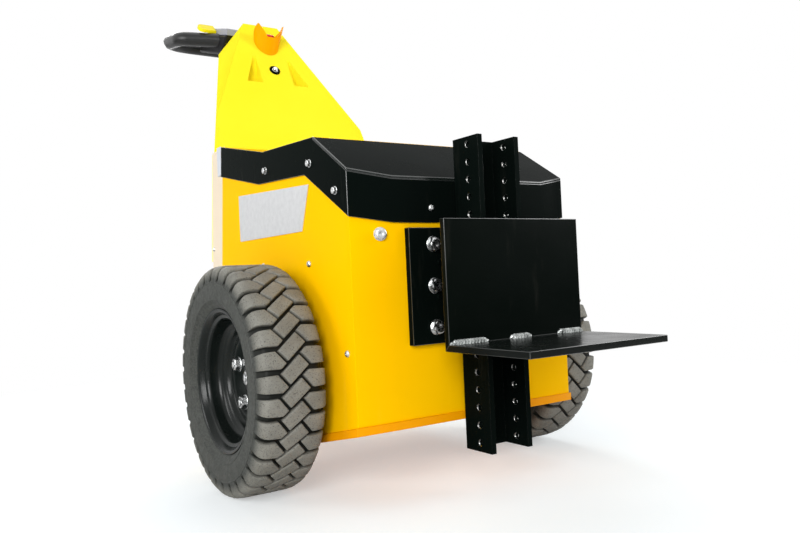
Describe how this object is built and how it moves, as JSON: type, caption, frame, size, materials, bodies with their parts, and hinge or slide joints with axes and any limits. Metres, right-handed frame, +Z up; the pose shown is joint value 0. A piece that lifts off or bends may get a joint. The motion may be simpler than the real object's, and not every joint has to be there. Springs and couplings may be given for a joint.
{
  "type": "electric tow tractor",
  "caption": "Pedestrian electric tow tractor with drive wheels, swivel castor, loop handle and a height-set load bracket on a drilled mast.",
  "frame": {"origin": "on the floor, at the middle of the tractor's length and width", "axes": "+X across the tractor, which is symmetric; +Y towards the loop handle, away from the load bracket; +Z up"},
  "size_m": [0.707, 1.4214, 1.0493],
  "materials": {
    "yellow_paint": "semi-gloss powder coat",
    "lemon_plastic": "gloss moulded cover",
    "cream_panel": "semi-gloss",
    "pale_paint": "semi-gloss",
    "black_paint": "gloss black powder coat",
    "black_plastic": "satin moulded",
    "grey_plastic": "satin",
    "red_plastic": "gloss",
    "yellow_plastic": "gloss",
    "sign_silver": "satin blank plate",
    "rim_paint": "satin dark enamel",
    "tyre_rubber": "matt",
    "castor_rubber": "satin",
    "zinc": "bright zinc plate",
    "cast_steel": "painted casting",
    "battery_case": "matt"
  },
  "bodies": {
    "chassis": {"axle_housing": "cast_steel", "base_plate": "yellow_paint", "battery_block": "battery_case", "body_back": "yellow_paint", "body_shell": "yellow_paint", "bumper_band": "black_paint", "castor_plate": "zinc", "deck_lid": "yellow_paint", "handle_loop": "black_plastic", "head_pod": "black_plastic", "hood_panel": "black_paint", "mast": "black_paint", "motor_block": "cast_steel", "mount_plate": "black_paint", "neck_back": "black_plastic", "neck_cover": "lemon_plastic", "rear_housing": "cream_panel", "rear_panel": "pale_paint", "sign_plates": "sign_silver", "stop_button": "red_plastic", "stop_guard": "yellow_plastic", "throttle_paddles": "yellow_plastic", "top_panel": "grey_plastic"},
    "drive_wheel_left": {"tyre_left": "tyre_rubber", "rim_left": "rim_paint", "hub_left": "cast_steel"},
    "drive_wheel_right": {"tyre_right": "tyre_rubber", "rim_right": "rim_paint", "hub_right": "cast_steel"},
    "castor_swivel_body": {"castor_fork": "zinc", "castor_axle": "zinc"},
    "castor_wheel": {"castor_core": "black_plastic", "castor_tyre": "castor_rubber"},
    "load_bracket": {"bracket_slider": "black_paint", "bracket_plate": "black_paint", "bracket_shelf": "black_paint"}
  },
  "joints": [
    {"name": "drive_left_roll", "type": "hinge", "parent": "chassis", "child": "drive_wheel_left", "pos_m": [0, -0.18729, 0.1925], "axis": [1, 0, 0], "continuous": true},
    {"name": "drive_right_roll", "type": "hinge", "parent": "chassis", "child": "drive_wheel_right", "pos_m": [0, -0.18729, 0.1925], "axis": [1, 0, 0], "continuous": true},
    {"name": "castor_swivel", "type": "hinge", "parent": "chassis", "child": "castor_swivel_body", "pos_m": [0, 0.23771, 0.072], "axis": [0, 0, 1], "continuous": true},
    {"name": "castor_roll", "type": "hinge", "parent": "castor_swivel_body", "child": "castor_wheel", "pos_m": [0, 0.27771, 0.072], "axis": [1, 0, 0], "continuous": true},
    {"name": "bracket_height", "type": "slide", "parent": "chassis", "child": "load_bracket", "axis": [0, 0, 1], "range_m": [-0.1644, 0.137]}
  ]
}
